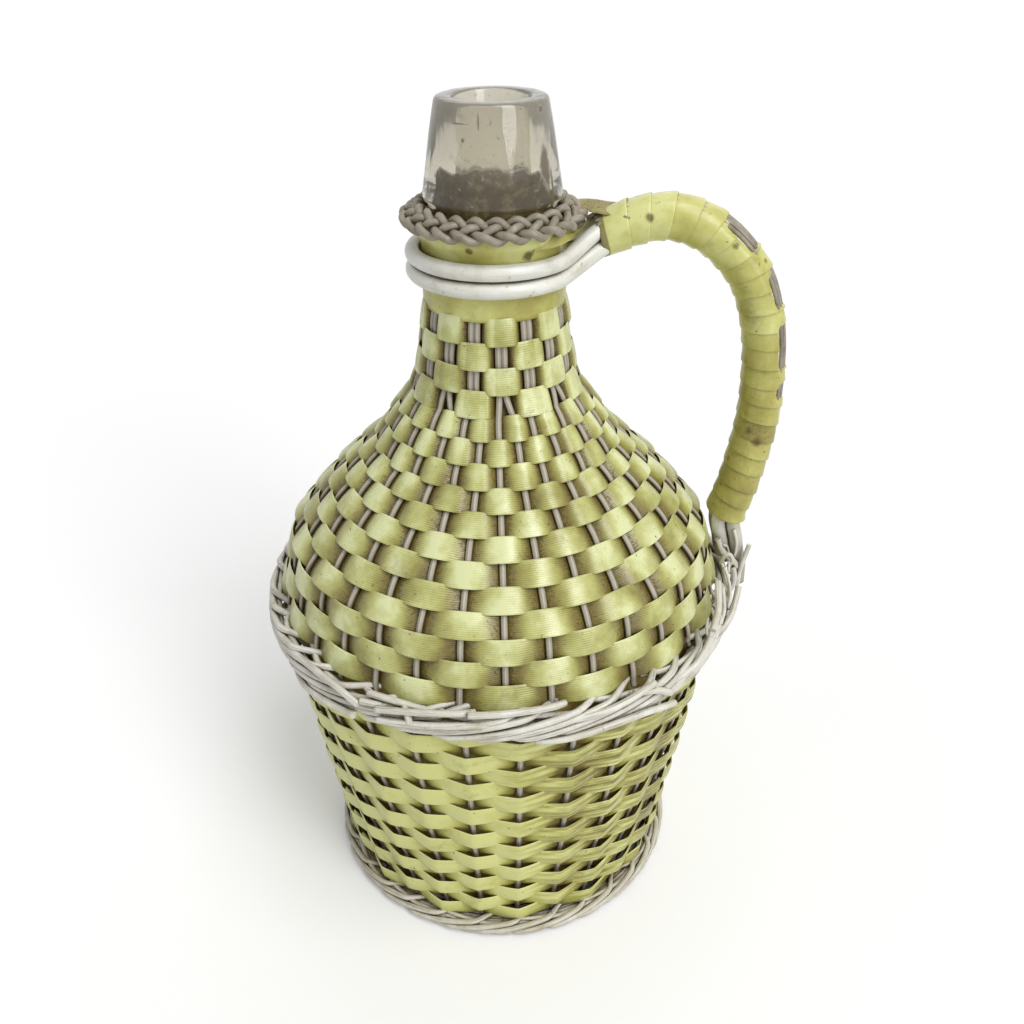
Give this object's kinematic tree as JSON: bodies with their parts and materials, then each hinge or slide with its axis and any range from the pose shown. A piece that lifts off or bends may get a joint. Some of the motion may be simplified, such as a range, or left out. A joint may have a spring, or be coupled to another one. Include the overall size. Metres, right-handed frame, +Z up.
{
  "type": "demijohn",
  "caption": "Glass demijohn with a tapered finish in a close jacket of woven flat strip, with corded borders, a plaited neck collar and a strip-wound side handle.",
  "frame": {"origin": "on the bottle's axis, on the floor that the bottle stands on", "axes": "+Z up along the bottle's axis, +X towards the handle, -Y the front"},
  "size_m": [0.2425, 0.2298, 0.3845],
  "materials": {
    "olive_glass": "smooth moulded glass, grey olive tint",
    "yellow_strip": "extruded flat strip with fine ribs, satin",
    "grey_stake": "extruded flat stake with a middle ridge, satin",
    "grey_plait": "plaited cord, weathered",
    "white_cord": "extruded round cord, slightly soiled"
  },
  "bodies": {
    "root": {"glass_bottle": "olive_glass", "upper_stakes": "grey_stake", "upper_weave_01": "yellow_strip", "upper_weave_02": "yellow_strip", "upper_weave_03": "yellow_strip", "upper_weave_04": "yellow_strip", "upper_weave_05": "yellow_strip", "upper_weave_06": "yellow_strip", "upper_weave_07": "yellow_strip", "upper_weave_08": "yellow_strip", "upper_weave_09": "yellow_strip", "upper_weave_10": "yellow_strip", "upper_weave_11": "yellow_strip", "upper_weave_12": "yellow_strip", "upper_weave_13": "yellow_strip", "upper_weave_14": "yellow_strip", "upper_weave_15": "yellow_strip", "upper_weave_16": "yellow_strip", "lower_stakes": "grey_stake", "lower_weave_01": "yellow_strip", "lower_weave_02": "yellow_strip", "lower_weave_03": "yellow_strip", "lower_weave_04": "yellow_strip", "lower_weave_05": "yellow_strip", "lower_weave_06": "yellow_strip", "lower_weave_07": "yellow_strip", "lower_weave_08": "yellow_strip", "lower_weave_09": "yellow_strip", "lower_weave_10": "yellow_strip", "lower_weave_11": "yellow_strip", "lower_weave_12": "yellow_strip", "lower_weave_13": "yellow_strip", "lower_weave_14": "yellow_strip", "lower_weave_15": "yellow_strip", "lower_weave_16": "yellow_strip", "base_weave": "yellow_strip", "base_binding": "grey_stake", "waist_cord_1": "white_cord", "waist_cord_2": "white_cord", "waist_cord_3": "white_cord", "waist_cord_4": "white_cord", "base_cord_1": "white_cord", "base_cord_2": "white_cord", "base_cord_3": "white_cord", "base_foot_cord": "white_cord", "neck_band_upper": "yellow_strip", "neck_band_lower": "yellow_strip", "plait_collar": "grey_plait", "handle_cord_outer": "white_cord", "handle_cord_inner": "white_cord", "handle_lacing": "grey_stake", "handle_wrap": "yellow_strip"}
  },
  "joints": []
}
